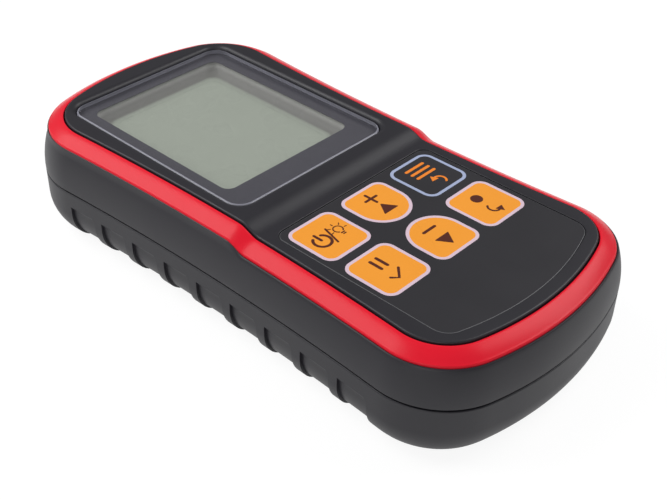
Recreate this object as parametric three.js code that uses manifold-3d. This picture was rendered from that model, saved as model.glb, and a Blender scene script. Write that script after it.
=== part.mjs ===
// Handheld light meter: two plastic case shells with a coloured trim between face and side wall,
// a display behind a clear window, six pressed keys and a battery compartment under a lift-off door.
// Millimetres. +X runs across the face, +Y towards the display end, +Z out of the face.
// The origin is under the middle of the case, on the surface that it rests on.
import * as THREE from "three";
import { mergeVertices } from "three/addons/utils/BufferGeometryUtils.js";
import Module from "manifold-3d";

const wasm = await Module();
wasm.setup();

// ---- driving dimensions ----

// The plan outline is measured at the trim's outer edge. It is a chain of tangent arcs.
const END_REACH = 72.4; // centre to either end
const WAIST_HALF = 32.8; // half the width at the narrowest place
const WAIST_Y = -6;
const SIDE_RADIUS = 760; // hollow of the long sides
const TOP_END_RADIUS = 75.5;
const TOP_CORNER = 18.9;
const BOTTOM_END_RADIUS = 77.5;
const BOTTOM_CORNER = 16.5;
const BULGE = 2.1; // side wall beyond the outline, at the parting line

// Heights
const PARTING_Z = 15.7;
const FACE_Z = 29.8; // display half of the face
const STEP_DROP = 1.7; // keypad half lies this much lower
const STEP_Y = -8;
const STEP_LENGTH = 6;
const BULGE_TOP_Z = 16.5; // above this the side wall curves in
const BULGE_FADE = 10; // height over which the bulge would fade to nothing
const ROUNDING_WIDTH = 8; // lower edge of the rear shell, across
const ROUNDING_HEIGHT = 9; // and up

// Walls and clearances
const WALL = 2.2;
const FACE_WALL = 2.4;
const FLOOR = 2;
const CHANNEL_WALL = 2.1; // of the front shell, beside the trim
const GAP = 0.3; // between pieces that fit together
const PARTING_GAP = 0.4;
const REBATE_WALL = 1.5; // of the front shell, outside the lip
const LIP_WIDTH = 1.2;
const LIP_RISE = 1.9; // above the parting line
const LIP_ROOT = 2.2; // below the parting line
const MERGE = 0.5; // how far solids that become one reach into each other
const CLEAR = 6; // how far a cut reaches past the surface that it opens

// Trim between face and side wall
const TRIM_WIDTH = 4; // across, from outer to inner edge
const TRIM_FALL = 2.3; // outer edge below inner edge
const TRIM_CROWN = 0.35; // bow of its shown surface
const TRIM_THICK = 1.5;
const TRIM_INSET_Z = 0.4; // inner edge below the face

// Display
const LENS_WIDTH = 50.2;
const LENS_LENGTH = 62.8;
const LENS_FROM_END = 10.8; // display end of the case to the lens
const LENS_CORNER = 4.5;
const LENS_THICK = 1.2;
const LENS_SINK = 0.8; // top of the lens below the face
const VIEW_SHIFT = 2.5; // what can be seen through the lens lies nearer the display end
const VIEW_HALF_X = 16.9;
const VIEW_HALF_Y = 21.6;
const FRAME_HALF_X = 22.3;
const FRAME_HALF_Y = 27;
const FRAME_WALL = 1.4;
const FRAME_SHELF = 0.5;
const SHELF_DEPTH = 3.6; // shelf below the lens top
const GLASS_THICK = 2;
const BACKLIGHT_THICK = 1.8;
const ZEBRA_WIDTH = 2;
const LENS_SEAT = 1.6; // plastic left under the lens

// Keypad
const PAD_FROM_STEP = 4.8;
const PAD_FROM_END = 7.8;
const PAD_MARGIN = 1.2; // beyond the outer keys
const PAD_CORNER = 2.5;
const PAD_THICK = 0.6;
const PAD_SINK = 0.2;
const KEY_WIDTH = 14.3;
const KEY_LENGTH = 14.4;
const KEY_CORNER = 2.8;
const KEY_SPACE_X = 2.7;
const KEY_SPACE_Y = 2.3;
const KEY_TRAVEL = 0.5;
const KEY_FLANGE = 0.6; // beyond the cap, all round
const KEY_FLANGE_THICK = 0.9;
const PLUNGER_RADIUS = 1.8;
const PLUNGER_LENGTH = 0.4;
const PRESS_SPARE = 0.1; // left under a fully pressed key

// Board
const BOARD_THICK = 1.6;
const BOARD_INSET = 3.8;
const BOARD_POST_RADIUS = 2.7;
const BOARD_SCREW_RADIUS = 1.1;
const BOARD_SCREW_BITE = 4;
const BOARD_SCREW_X = 19.3;
const BOARD_SCREW_SPACE = 3; // from a key's flange to a board post
const BOARD_HEAD_RADIUS = 2.1;
const BOARD_HEAD_THICK = 1.2;
const SWITCH_SIZE = 6;
const SWITCH_BODY = 2.4;
const ACTUATOR_RADIUS = 1.7;
const CHIP_SIZE = 10;
const CHIP_THICK = 1.4;
const CHIP_Y = 20;

// Case screws, two at each end, placed from the waist's width and from the end
const TOP_SCREW_INSET = [7.1, 12];
const BOTTOM_SCREW_INSET = [8.2, 12.4];
const POST_RADIUS = 3.4;
const BOSS_RADIUS = 2.7;
const SCREW_RADIUS = 1.3;
const SCREW_HEAD_RADIUS = 2.6;
const SCREW_HEAD_THICK = 1.8;
const HEAD_SINK = 6.5; // screw heads above the rest surface
const SCREW_BITE = 6.5; // thread in the boss
const SLOT_WIDTH = 0.8;
const SLOT_DEPTH = 0.6;

// Battery compartment
const CELL_RADIUS = 5.25;
const CELL_LENGTH = 44.5;
const CELL_COUNT = 3;
const CELL_NUB_RADIUS = 1.9;
const CELL_NUB = 0.8;
const CELL_EDGE = 0.5;
const CELL_SPACE = 0.8; // between neighbouring cells
const SPRING_LENGTH = 5.8;
const SPRING_RADIUS = 3;
const SPRING_WIRE = 0.45;
const SPRING_TURNS = 3.5;
const SPRING_TAPER = 0.3; // of the radius, over its length
const CONTACT_SIZE = 8;
const CONTACT_THICK = 0.5;
const BAY_Y = -29.5;
const BAY_WALL = 1.5;
const DOOR_LEDGE = 2.8;
const DOOR_THICK = 1.9;
const DOOR_CORNER = 2;
const LEDGE_THICK = 1.4;
const CELL_LIFT = 0.3; // over the ledge side of the door
const THUMB_RADIUS = 7;
const THUMB_DEPTH = 0.9;

// Sensor socket in the display end
const SOCKET_HALF = 2.6;
const SOCKET_LENGTH = 12;
const NOZZLE_RADIUS = 3;
const NOZZLE_SINK = 0.4;
const JACK_RADIUS = 1.8;
const JACK_DEPTH = 13;

// Finger grips in the sides of the rear shell
const GRIP_COUNT = 9;
const GRIP_PITCH = 11.2;
const GRIP_FROM_END = 23.9; // display end to the first one
const GRIP_LENGTH = 8.6;
const GRIP_DEPTH = 1.2;
const GRIP_TOP_Z = 11.4;

// ---- worked-out places ----

const lensY = END_REACH - LENS_FROM_END - LENS_LENGTH / 2;
const viewY = lensY + VIEW_SHIFT;
const keyPitchX = KEY_WIDTH + KEY_SPACE_X;
const keyPitchY = KEY_LENGTH + KEY_SPACE_Y;
const padHalf = keyPitchX + KEY_WIDTH / 2 + PAD_MARGIN;
const padTopY = STEP_Y - PAD_FROM_STEP;
const firstRowY = padTopY - PAD_MARGIN - KEY_LENGTH / 2;
const keyRowYs = [firstRowY, firstRowY - keyPitchY];
const boardPostReach = KEY_LENGTH / 2 + KEY_FLANGE + BOARD_SCREW_SPACE + BOARD_POST_RADIUS;
const boardScrewYs = [keyRowYs[0] + boardPostReach, keyRowYs[1] - boardPostReach];

// ---- worked-out heights ----

const keypadFaceZ = FACE_Z - STEP_DROP;
const trimZ = FACE_Z - TRIM_INSET_Z; // inner edge of the trim, display half
const lensTopZ = FACE_Z - LENS_SINK;
const lensSeatZ = lensTopZ - LENS_THICK - GAP;
const faceUnderZ = lensSeatZ - LENS_SEAT;
const padUnderZ = keypadFaceZ - FACE_WALL;
const shelfTopZ = lensTopZ - SHELF_DEPTH;
const glassTopZ = shelfTopZ - FRAME_SHELF - GAP;
const backlightTopZ = glassTopZ - GLASS_THICK - GAP;
const boardTopZ = backlightTopZ - BACKLIGHT_THICK - GAP;
const boardZ = boardTopZ - BOARD_THICK;
const doorSeatZ = DOOR_THICK + GAP;
const cellZ = doorSeatZ + CELL_LIFT + CELL_RADIUS;
const bayCeilingZ = cellZ + CELL_RADIUS + GAP;
const cellPitch = 2 * CELL_RADIUS + CELL_SPACE;
const bayHalfX = (CELL_COUNT * cellPitch) / 2 + GAP;
const bayHalfY = (CELL_LENGTH + SPRING_LENGTH + CONTACT_THICK + 4 * GAP) / 2;

// ---- solids from three.js geometry ----

function solidOf(geometry) {
  const bare = geometry.clone();
  bare.deleteAttribute("normal");
  bare.deleteAttribute("uv");
  const merged = mergeVertices(bare, 1e-4);
  const mesh = new wasm.Mesh({
    numProp: 3,
    vertProperties: new Float32Array(merged.attributes.position.array),
    triVerts: new Uint32Array(merged.index.array),
  });
  return new wasm.Manifold(mesh);
}

function geometryOf(solid) {
  const { vertProperties, triVerts } = solid.getMesh();
  const geometry = new THREE.BufferGeometry();
  geometry.setAttribute("position", new THREE.BufferAttribute(vertProperties, 3));
  geometry.setIndex(new THREE.BufferAttribute(triVerts, 1));
  geometry.computeVertexNormals();
  return geometry;
}

const joined = (...solids) => solids.reduce((all, one) => all.add(one));
const cut = (solid, ...tools) => tools.reduce((left, tool) => left.subtract(tool), solid);

// A box given by its lowest and highest corners.
function block([x0, y0, z0], [x1, y1, z1]) {
  const geometry = new THREE.BoxGeometry(x1 - x0, y1 - y0, z1 - z0);
  return solidOf(geometry.translate((x0 + x1) / 2, (y0 + y1) / 2, (z0 + z1) / 2));
}

// An upright cylinder between two heights.
function post(radius, x, y, z0, z1, sides = 14) {
  const geometry = new THREE.CylinderGeometry(radius, radius, z1 - z0, sides);
  return solidOf(geometry.rotateX(Math.PI / 2).translate(x, y, (z0 + z1) / 2));
}

// A shape extruded between two heights.
function slab(shape, z0, z1, curveSegments = 4) {
  const options = { depth: z1 - z0, bevelEnabled: false, curveSegments };
  return solidOf(new THREE.ExtrudeGeometry(shape, options).translate(0, 0, z0));
}

// A rectangle with one radius at its display-side corners and another at the far ones.
function roundedShape(halfX, halfY, farRadius, nearRadius, x = 0, y = 0) {
  const shape = new THREE.Shape();
  const [left, right, near, far] = [x - halfX, x + halfX, y - halfY, y + halfY];
  const quarter = Math.PI / 2;
  shape.moveTo(left + nearRadius, near);
  shape.absarc(right - nearRadius, near + nearRadius, nearRadius, -quarter, 0);
  shape.absarc(right - farRadius, far - farRadius, farRadius, 0, quarter);
  shape.absarc(left + farRadius, far - farRadius, farRadius, quarter, 2 * quarter);
  shape.absarc(left + nearRadius, near + nearRadius, nearRadius, 2 * quarter, 3 * quarter);
  return shape;
}

function plate(halfX, halfY, radius, x, y, z0, z1) {
  return slab(roundedShape(halfX, halfY, radius, radius, x, y), z0, z1);
}

// ---- the case outline ----

const sideCentre = new THREE.Vector2(WAIST_HALF + SIDE_RADIUS, WAIST_Y);

// Centre of the corner arc that touches an end arc from inside and the hollow side arc from outside.
function cornerCentre(endCentre, endRadius, corner, up) {
  const towards = sideCentre.clone().sub(endCentre);
  const distance = towards.length();
  const inner = endRadius - corner;
  const outer = SIDE_RADIUS + corner;
  const along = (inner * inner - outer * outer + distance * distance) / (2 * distance);
  const across = Math.sqrt(inner * inner - along * along) * (up ? 1 : -1);
  towards.normalize();
  const normal = new THREE.Vector2(-towards.y, towards.x);
  return endCentre.clone().addScaledVector(towards, along).addScaledVector(normal, across);
}

const topEnd = new THREE.Vector2(0, END_REACH - TOP_END_RADIUS);
const bottomEnd = new THREE.Vector2(0, BOTTOM_END_RADIUS - END_REACH);
const topCorner = cornerCentre(topEnd, TOP_END_RADIUS, TOP_CORNER, true);
const bottomCorner = cornerCentre(bottomEnd, BOTTOM_END_RADIUS, BOTTOM_CORNER, false);

const angleFrom = (centre, point) => Math.atan2(point.y - centre.y, point.x - centre.x);

function arcPoints(centre, radius, from, to, steps) {
  return Array.from({ length: steps }, (_, i) => {
    const angle = from + ((to - from) * i) / steps;
    return new THREE.Vector2(centre.x + radius * Math.cos(angle), centre.y + radius * Math.sin(angle));
  });
}

// Half-width of the outline, moved out by outset, where the side arc crosses y.
function sideX(y, outset) {
  const radius = SIDE_RADIUS - outset;
  return sideCentre.x - Math.sqrt(radius * radius - (y - WAIST_Y) ** 2);
}

const STEP_POINTS = 4;
const SIDE_POINTS = 2;
const CORNER_POINTS = 4;
const END_POINTS = 3;

// The closed outline moved out by outset, from the middle of the display end round by +X.
function outline(outset) {
  const topAngle = angleFrom(topEnd, topCorner);
  const bottomAngle = angleFrom(bottomEnd, bottomCorner);
  const topTouch = angleFrom(topCorner, sideCentre);
  const bottomTouch = angleFrom(bottomCorner, sideCentre);
  const topY = topCorner.y + (TOP_CORNER + outset) * Math.sin(topTouch);
  const bottomY = bottomCorner.y + (BOTTOM_CORNER + outset) * Math.sin(bottomTouch);
  const stepTop = STEP_Y + STEP_LENGTH / 2;
  const stepBottom = STEP_Y - STEP_LENGTH / 2;
  const stretch = (from, to, count) =>
    Array.from({ length: count }, (_, i) => from + ((to - from) * i) / count);
  const sideYs = [
    ...stretch(topY, stepTop, SIDE_POINTS),
    ...stretch(stepTop, stepBottom, STEP_POINTS),
    ...stretch(stepBottom, bottomY, SIDE_POINTS),
  ];
  const half = [
    ...arcPoints(topEnd, TOP_END_RADIUS + outset, Math.PI / 2, topAngle, END_POINTS),
    ...arcPoints(topCorner, TOP_CORNER + outset, topAngle, topTouch, CORNER_POINTS),
    ...sideYs.map((y) => new THREE.Vector2(sideX(y, outset), y)),
    ...arcPoints(bottomCorner, BOTTOM_CORNER + outset, bottomTouch, bottomAngle, CORNER_POINTS),
    ...arcPoints(bottomEnd, BOTTOM_END_RADIUS + outset, bottomAngle, -Math.PI / 2, END_POINTS),
    new THREE.Vector2(0, -END_REACH - outset),
  ];
  const mirrored = half.slice(1, -1).reverse().map((p) => new THREE.Vector2(-p.x, p.y));
  return [...half, ...mirrored];
}

// The face steps down smoothly from the display half to the keypad half.
function stepAt(y) {
  const t = THREE.MathUtils.clamp((STEP_Y + STEP_LENGTH / 2 - y) / STEP_LENGTH, 0, 1);
  return (-STEP_DROP * (1 - Math.cos(Math.PI * t))) / 2;
}

function meshOf(vertices, triangles) {
  const geometry = new THREE.BufferGeometry();
  geometry.setAttribute("position", new THREE.Float32BufferAttribute(vertices, 3));
  geometry.setIndex(triangles);
  return geometry;
}

// A solid through stacked outlines, given as [outset, height] from the bottom up.
function stack(levels) {
  const rings = levels.map(([outset, z]) => outline(outset).map((p) => [p.x, p.y, z]));
  const count = rings[0].length;
  const vertices = [...rings.flat(), [0, 0, levels[0][1]], [0, 0, levels.at(-1)[1]]].flat();
  const [bottomHub, topHub] = [rings.length * count, rings.length * count + 1];
  const topRing = (rings.length - 1) * count;
  const triangles = [];
  for (let i = 0; i < count; i++) {
    const next = (i + 1) % count;
    for (let level = 0; level < rings.length - 1; level++) {
      const [a, b] = [level * count + i, level * count + next];
      triangles.push(a, a + count, b, b, a + count, b + count);
    }
    triangles.push(bottomHub, i, next, topHub, topRing + next, topRing + i);
  }
  return solidOf(meshOf(vertices, triangles));
}

// A ring that follows the outline and the step. Its section is a list of [outset, height],
// counter-clockwise as seen looking along the outline with outwards to the right.
function ring(section, followsStep = true) {
  const loops = section.map(([outset, z]) =>
    outline(outset).map((p) => [p.x, p.y, z + (followsStep ? stepAt(p.y) : 0)]),
  );
  const count = loops[0].length;
  const triangles = [];
  for (let k = 0; k < loops.length; k++) {
    const other = (k + 1) % loops.length;
    for (let i = 0; i < count; i++) {
      const next = (i + 1) % count;
      const [a, b, c, d] = [k * count + i, k * count + next, other * count + i, other * count + next];
      triangles.push(a, c, b, b, c, d);
    }
  }
  return solidOf(meshOf(loops.flat(2), triangles));
}

const wideHalf = 2 * WAIST_HALF; // past either side of the case

// A block across the whole width whose top follows the step.
function steppedBlock(z0, topZ) {
  const reach = END_REACH + 2 * BULGE;
  const shape = new THREE.Shape();
  shape.moveTo(-reach, z0);
  shape.lineTo(reach, z0);
  shape.lineTo(reach, topZ);
  for (let i = 0; i <= STEP_POINTS; i++) {
    const y = STEP_Y + STEP_LENGTH / 2 - (STEP_LENGTH * i) / STEP_POINTS;
    shape.lineTo(y, topZ + stepAt(y));
  }
  shape.lineTo(-reach, topZ - STEP_DROP);
  const geometry = new THREE.ExtrudeGeometry(shape, { depth: 2 * wideHalf, bevelEnabled: false });
  const turn = new THREE.Matrix4().makeBasis(
    new THREE.Vector3(0, 1, 0),
    new THREE.Vector3(0, 0, 1),
    new THREE.Vector3(1, 0, 0),
  );
  return solidOf(geometry.applyMatrix4(turn).translate(-wideHalf, 0, 0));
}

// How far the side wall of the front shell stands beyond the outline at a height.
function wallOutset(z) {
  const t = Math.max(0, z - BULGE_TOP_Z) / BULGE_FADE;
  return Math.max(0, BULGE * (1 - t * t));
}

// ---- places shared by several pieces ----

const mirrorPair = (x, y) => [[x, y], [-x, y]];
const caseScrewPlaces = [
  ...mirrorPair(WAIST_HALF - TOP_SCREW_INSET[0], END_REACH - TOP_SCREW_INSET[1]),
  ...mirrorPair(WAIST_HALF - BOTTOM_SCREW_INSET[0], BOTTOM_SCREW_INSET[1] - END_REACH),
];
const boardScrewPlaces = boardScrewYs.flatMap((y) => mirrorPair(BOARD_SCREW_X, y));
const caseScrewTipZ = PARTING_Z + PARTING_GAP / 2 + SCREW_BITE;
const boardScrewTipZ = boardTopZ + GAP + BOARD_SCREW_BITE;
const keys = [
  ["power_key", -1, 0],
  ["up_key", 0, 0],
  ["mode_key", 1, 0],
  ["hold_key", -1, 1],
  ["down_key", 0, 1],
  ["record_key", 1, 1],
].map(([name, column, row]) => ({ name, x: column * keyPitchX, y: keyRowYs[row], column, row }));

// The middle keys are round on the side that faces the other row.
function keyShape(key, grow) {
  const [halfX, halfY] = [KEY_WIDTH / 2 + grow, KEY_LENGTH / 2 + grow];
  const square = KEY_CORNER + grow;
  const round = Math.min(halfX, halfY);
  if (key.column !== 0) return roundedShape(halfX, halfY, square, square, key.x, key.y);
  const [far, near] = key.row === 0 ? [square, round] : [round, square];
  return roundedShape(halfX, halfY, far, near, key.x, key.y);
}

// The keypad sheet: straight at the display side, and an arc that follows the case end at the other.
function padShape(grow) {
  const half = padHalf + grow;
  const radius = BOTTOM_END_RADIUS - PAD_FROM_END + grow;
  const corner = PAD_CORNER + grow;
  const reach = radius - corner;
  const cornerX = half - corner;
  const cornerY = bottomEnd.y - Math.sqrt(reach * reach - cornerX * cornerX);
  const touch = Math.atan2(cornerY - bottomEnd.y, cornerX);
  const top = padTopY + grow;
  const shape = new THREE.Shape();
  shape.absarc(0, bottomEnd.y, radius, -Math.PI - touch, touch);
  shape.absarc(cornerX, cornerY, corner, touch, 0);
  shape.absarc(half - corner, top - corner, corner, 0, Math.PI / 2);
  shape.absarc(corner - half, top - corner, corner, Math.PI / 2, Math.PI);
  shape.absarc(-cornerX, cornerY, corner, Math.PI, Math.PI - touch);
  return shape;
}

const bayCorner = (side) => [side * bayHalfX, BAY_Y + side * bayHalfY];
const doorHalfX = bayHalfX + DOOR_LEDGE - GAP;
const doorHalfY = bayHalfY + DOOR_LEDGE - GAP;

// ---- pieces ----

// Levels of a quarter ellipse that rises from a flat bottom to a wall.
function rounding(wallAt, width, height, bottomZ, steps) {
  return Array.from({ length: steps + 1 }, (_, i) => {
    const angle = (Math.PI / 2) * (1 - i / steps);
    return [wallAt - width * (1 - Math.cos(angle)), bottomZ + height * (1 - Math.sin(angle))];
  });
}

function rearCase() {
  const top = PARTING_Z - PARTING_GAP / 2;
  const outerLevels = [...rounding(BULGE, ROUNDING_WIDTH, ROUNDING_HEIGHT, 0, 4), [BULGE, top]];
  const outer = stack(outerLevels);
  const inside = BULGE - WALL;
  const hollow = stack([
    ...rounding(inside, ROUNDING_WIDTH - WALL, ROUNDING_HEIGHT - FLOOR, FLOOR, 3),
    [inside, top + CLEAR],
  ]);
  const lipOuter = BULGE - REBATE_WALL - GAP;
  const lipInner = lipOuter - LIP_WIDTH;
  const lip = ring(
    [
      [lipInner, top - LIP_ROOT],
      [lipOuter, top - LIP_ROOT],
      [lipOuter, PARTING_Z + LIP_RISE],
      [lipInner, PARTING_Z + LIP_RISE],
    ],
    false,
  );
  const [bayX0, bayY0] = bayCorner(-1);
  const [bayX1, bayY1] = bayCorner(1);
  const rim = DOOR_LEDGE + BAY_WALL;
  const seat = block(
    [bayX0 - rim, bayY0 - rim, FLOOR / 2],
    [bayX1 + rim, bayY1 + rim, doorSeatZ + LEDGE_THICK],
  );
  const tub = block(
    [bayX0 - BAY_WALL, bayY0 - BAY_WALL, FLOOR],
    [bayX1 + BAY_WALL, bayY1 + BAY_WALL, bayCeilingZ + BAY_WALL],
  );
  const bay = block([bayX0, bayY0, -CLEAR], [bayX1, bayY1, bayCeilingZ]);
  const doorSeat = plate(doorHalfX + GAP, doorHalfY + GAP, DOOR_CORNER + GAP, 0, BAY_Y, -CLEAR, doorSeatZ);
  const thumb = post(THUMB_RADIUS, 0, BAY_Y + doorHalfY + THUMB_RADIUS / 2, -CLEAR, THUMB_DEPTH, 20);
  const posts = caseScrewPlaces.map(([x, y]) => post(POST_RADIUS, x, y, FLOOR / 2, top));
  const holes = caseScrewPlaces.flatMap(([x, y]) => [
    post(SCREW_HEAD_RADIUS + GAP, x, y, -CLEAR, HEAD_SINK + SCREW_HEAD_THICK + GAP),
    post(SCREW_RADIUS + GAP, x, y, 0, top + CLEAR),
  ]);
  const shell = cut(outer, hollow);
  const inner = joined(shell, lip, seat, tub, ...posts).intersect(joined(outer, lip));
  return cut(inner, bay, doorSeat, thumb, ...holes, ...gripPockets(outerLevels), socketHole());
}

// Pockets of even depth, each open towards the underside, with a step at its display-side end.
function gripPockets(shellLevels) {
  const core = stack(shellLevels.map(([outset, z]) => [outset - GRIP_DEPTH, z]));
  const inner = WAIST_HALF + BULGE - ROUNDING_WIDTH;
  const firstY = END_REACH - GRIP_FROM_END;
  return Array.from({ length: GRIP_COUNT }, (_, i) => firstY - i * GRIP_PITCH).flatMap((y) =>
    [-1, 1].map((side) => {
      const xs = [side * inner, side * wideHalf].sort((a, b) => a - b);
      const column = block([xs[0], y - GRIP_LENGTH, -CLEAR], [xs[1], y, GRIP_TOP_Z]);
      return cut(column, core);
    }),
  );
}

function frontCase() {
  const bottom = PARTING_Z + PARTING_GAP / 2;
  const curveSteps = 3;
  const curveHeight = (_, i) => BULGE_TOP_Z + (BULGE_FADE * i) / curveSteps;
  const heights = [bottom, ...Array.from({ length: curveSteps + 1 }, curveHeight)];
  const outer = stack([...heights.map((z) => [wallOutset(z), z]), [0, FACE_Z + CLEAR]]);
  const body = outer.intersect(steppedBlock(bottom, FACE_Z));
  const rebateAt = BULGE - REBATE_WALL;
  const rebateTopZ = PARTING_Z + LIP_RISE + GAP;
  const channelAt = -TRIM_WIDTH - GAP;
  const channelLowZ = trimZ - TRIM_FALL - TRIM_THICK - GAP;
  const hollow = stack([
    [rebateAt, bottom - CLEAR],
    [rebateAt, rebateTopZ],
    [BULGE - WALL, rebateTopZ + WALL - REBATE_WALL],
    [channelAt - CHANNEL_WALL, channelLowZ - STEP_DROP],
    [channelAt - CHANNEL_WALL, FACE_Z],
  ]);
  const far = 2 * END_REACH;
  const underPad = hollow.intersect(block([-far, -far, 0], [far, STEP_Y + MERGE, padUnderZ]));
  const underDisplay = hollow.intersect(block([-far, STEP_Y, 0], [far, far, faceUnderZ]));
  const trimChannel = ring([
    [channelAt, trimZ + CLEAR],
    [channelAt, trimZ - TRIM_THICK - GAP],
    [GAP, channelLowZ],
    [GAP, trimZ - TRIM_FALL - GAP],
    [CLEAR, trimZ - TRIM_FALL - GAP],
    [CLEAR, trimZ + CLEAR],
  ]);
  const lensRecess = plate(
    LENS_WIDTH / 2 + GAP,
    LENS_LENGTH / 2 + GAP,
    LENS_CORNER + GAP,
    0,
    lensY,
    lensSeatZ,
    FACE_Z + CLEAR,
  );
  const displayOpening = aroundView(FRAME_HALF_X + GAP, FRAME_HALF_Y + GAP, PARTING_Z, FACE_Z + CLEAR);
  const padRecess = slab(padShape(GAP), keypadFaceZ - PAD_SINK - PAD_THICK - GAP, FACE_Z + CLEAR);
  const keyHoles = keys.map((key) => slab(keyShape(key, GAP), boardTopZ, FACE_Z + 1, 3));
  const shell = cut(body, underPad, underDisplay);
  const postTopZ = (y) => (y > STEP_Y ? faceUnderZ : padUnderZ) + MERGE;
  const posts = [
    ...caseScrewPlaces.map(([x, y]) => post(BOSS_RADIUS, x, y, bottom, postTopZ(y))),
    ...boardScrewPlaces.map(([x, y]) => post(BOARD_POST_RADIUS, x, y, boardTopZ + GAP, postTopZ(y))),
  ];
  const pilots = [
    ...caseScrewPlaces.map(([x, y]) => post(SCREW_RADIUS + GAP, x, y, 0, caseScrewTipZ + GAP)),
    ...boardScrewPlaces.map(([x, y]) => post(BOARD_SCREW_RADIUS + GAP, x, y, 0, boardScrewTipZ + GAP)),
  ];
  const openings = [trimChannel, lensRecess, displayOpening, padRecess, ...keyHoles, socketHole()];
  return cut(joined(shell, ...posts), ...openings, ...pilots);
}

function trim() {
  const crown = trimZ - TRIM_FALL / 2 + TRIM_CROWN;
  return ring([
    [-TRIM_WIDTH, trimZ],
    [-TRIM_WIDTH, trimZ - TRIM_THICK],
    [0, trimZ - TRIM_FALL - TRIM_THICK],
    [0, trimZ - TRIM_FALL],
    [-TRIM_WIDTH / 2, crown],
  ]);
}

const lens = () =>
  plate(LENS_WIDTH / 2, LENS_LENGTH / 2, LENS_CORNER, 0, lensY, lensTopZ - LENS_THICK, lensTopZ);

// A block centred on what can be seen through the lens.
function aroundView(halfX, halfY, z0, z1) {
  return block([-halfX, viewY - halfY, z0], [halfX, viewY + halfY, z1]);
}

function displayFrame() {
  const inX = FRAME_HALF_X - FRAME_WALL;
  const inY = FRAME_HALF_Y - FRAME_WALL;
  const outer = aroundView(FRAME_HALF_X, FRAME_HALF_Y, boardTopZ + GAP, lensSeatZ);
  const above = aroundView(inX, inY, shelfTopZ, lensSeatZ + CLEAR);
  const below = aroundView(inX, inY, 0, shelfTopZ - FRAME_SHELF);
  return cut(outer, above, below, aroundView(VIEW_HALF_X, VIEW_HALF_Y, 0, FACE_Z));
}

const glassHalfX = FRAME_HALF_X - FRAME_WALL - GAP;
const glassHalfY = FRAME_HALF_Y - FRAME_WALL - GAP;

const displayGlass = () => aroundView(glassHalfX, glassHalfY, glassTopZ - GLASS_THICK, glassTopZ);

function backlight() {
  const near = viewY - glassHalfY + ZEBRA_WIDTH + GAP;
  const bottom = backlightTopZ - BACKLIGHT_THICK;
  return block([-glassHalfX, near, bottom], [glassHalfX, viewY + glassHalfY, backlightTopZ]);
}

function zebraStrip() {
  const near = viewY - glassHalfY;
  const bottom = boardTopZ + GAP;
  return block([-glassHalfX, near, bottom], [glassHalfX, near + ZEBRA_WIDTH, glassTopZ - GLASS_THICK - GAP]);
}

function mainBoard() {
  const sheet = stack([[-BOARD_INSET, boardZ], [-BOARD_INSET, boardTopZ]]);
  const through = [boardZ - CLEAR, boardTopZ + CLEAR];
  const notches = caseScrewPlaces.map(([x, y]) => post(BOSS_RADIUS + GAP, x, y, ...through));
  const holes = boardScrewPlaces.map(([x, y]) => post(BOARD_SCREW_RADIUS + GAP, x, y, ...through));
  return cut(sheet, ...notches, ...holes);
}

function controllerChip() {
  const half = CHIP_SIZE / 2;
  const top = boardZ - GAP;
  return block([-half, CHIP_Y - half, top - CHIP_THICK], [half, CHIP_Y + half, top]);
}

function keypadSheet() {
  const top = keypadFaceZ - PAD_SINK;
  const sheet = slab(padShape(0), top - PAD_THICK, top);
  return cut(sheet, ...keys.map((key) => slab(keyShape(key, GAP), top - CLEAR, top + CLEAR, 3)));
}

const keyUnderZ = padUnderZ - GAP - KEY_FLANGE_THICK;
const plungerZ = keyUnderZ - PLUNGER_LENGTH;

function keyCap(key) {
  const cap = slab(keyShape(key, 0), keyUnderZ, keypadFaceZ - PAD_SINK, 3);
  const flange = slab(keyShape(key, KEY_FLANGE), keyUnderZ, keyUnderZ + KEY_FLANGE_THICK, 3);
  return joined(cap, flange, post(PLUNGER_RADIUS, key.x, key.y, plungerZ, keyUnderZ + MERGE));
}

function keySwitch(key) {
  const half = SWITCH_SIZE / 2;
  const bottom = boardTopZ + GAP;
  const body = block([key.x - half, key.y - half, bottom], [key.x + half, key.y + half, bottom + SWITCH_BODY]);
  const actuator = post(ACTUATOR_RADIUS, key.x, key.y, bottom + MERGE, plungerZ - KEY_TRAVEL - PRESS_SPARE, 16);
  return joined(body, actuator);
}

const socketY = END_REACH + BULGE - NOZZLE_SINK; // mouth of the socket
const boardEndY = END_REACH - BOARD_INSET;
const socketBodyY = boardEndY + GAP + MERGE;

function alongY(radius, y0, y1, sides = 24) {
  return solidOf(new THREE.CylinderGeometry(radius, radius, y1 - y0, sides).translate(0, (y0 + y1) / 2, PARTING_Z));
}

const socketHole = () => alongY(NOZZLE_RADIUS + GAP, socketBodyY - SOCKET_LENGTH, END_REACH + 2 * BULGE);

function sensorSocket() {
  const body = block(
    [-SOCKET_HALF, socketBodyY - SOCKET_LENGTH, PARTING_Z - SOCKET_HALF],
    [SOCKET_HALF, socketBodyY, PARTING_Z + SOCKET_HALF],
  );
  const nozzle = alongY(NOZZLE_RADIUS, boardEndY + GAP, socketY);
  return cut(joined(body, nozzle), alongY(JACK_RADIUS, socketY - JACK_DEPTH, socketY + CLEAR, 20));
}

function batteryDoor() {
  return plate(doorHalfX, doorHalfY, DOOR_CORNER, 0, BAY_Y, 0, DOOR_THICK);
}

// Cells lie side by side and point the other way in turn.
const cells = Array.from({ length: CELL_COUNT }, (_, i) => ({
  x: (i - (CELL_COUNT - 1) / 2) * cellPitch,
  turn: i % 2 === 0 ? 1 : -1,
  index: i + 1,
}));

// Puts a piece made along +Y from the bay's middle into a cell's place and direction.
function inBay(geometry, cell) {
  if (cell.turn < 0) geometry.rotateZ(Math.PI);
  return geometry.translate(cell.x, BAY_Y, cellZ);
}

const plusEndY = bayHalfY - 2 * GAP - CONTACT_THICK;
const minusEndY = plusEndY - CELL_LENGTH;

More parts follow.
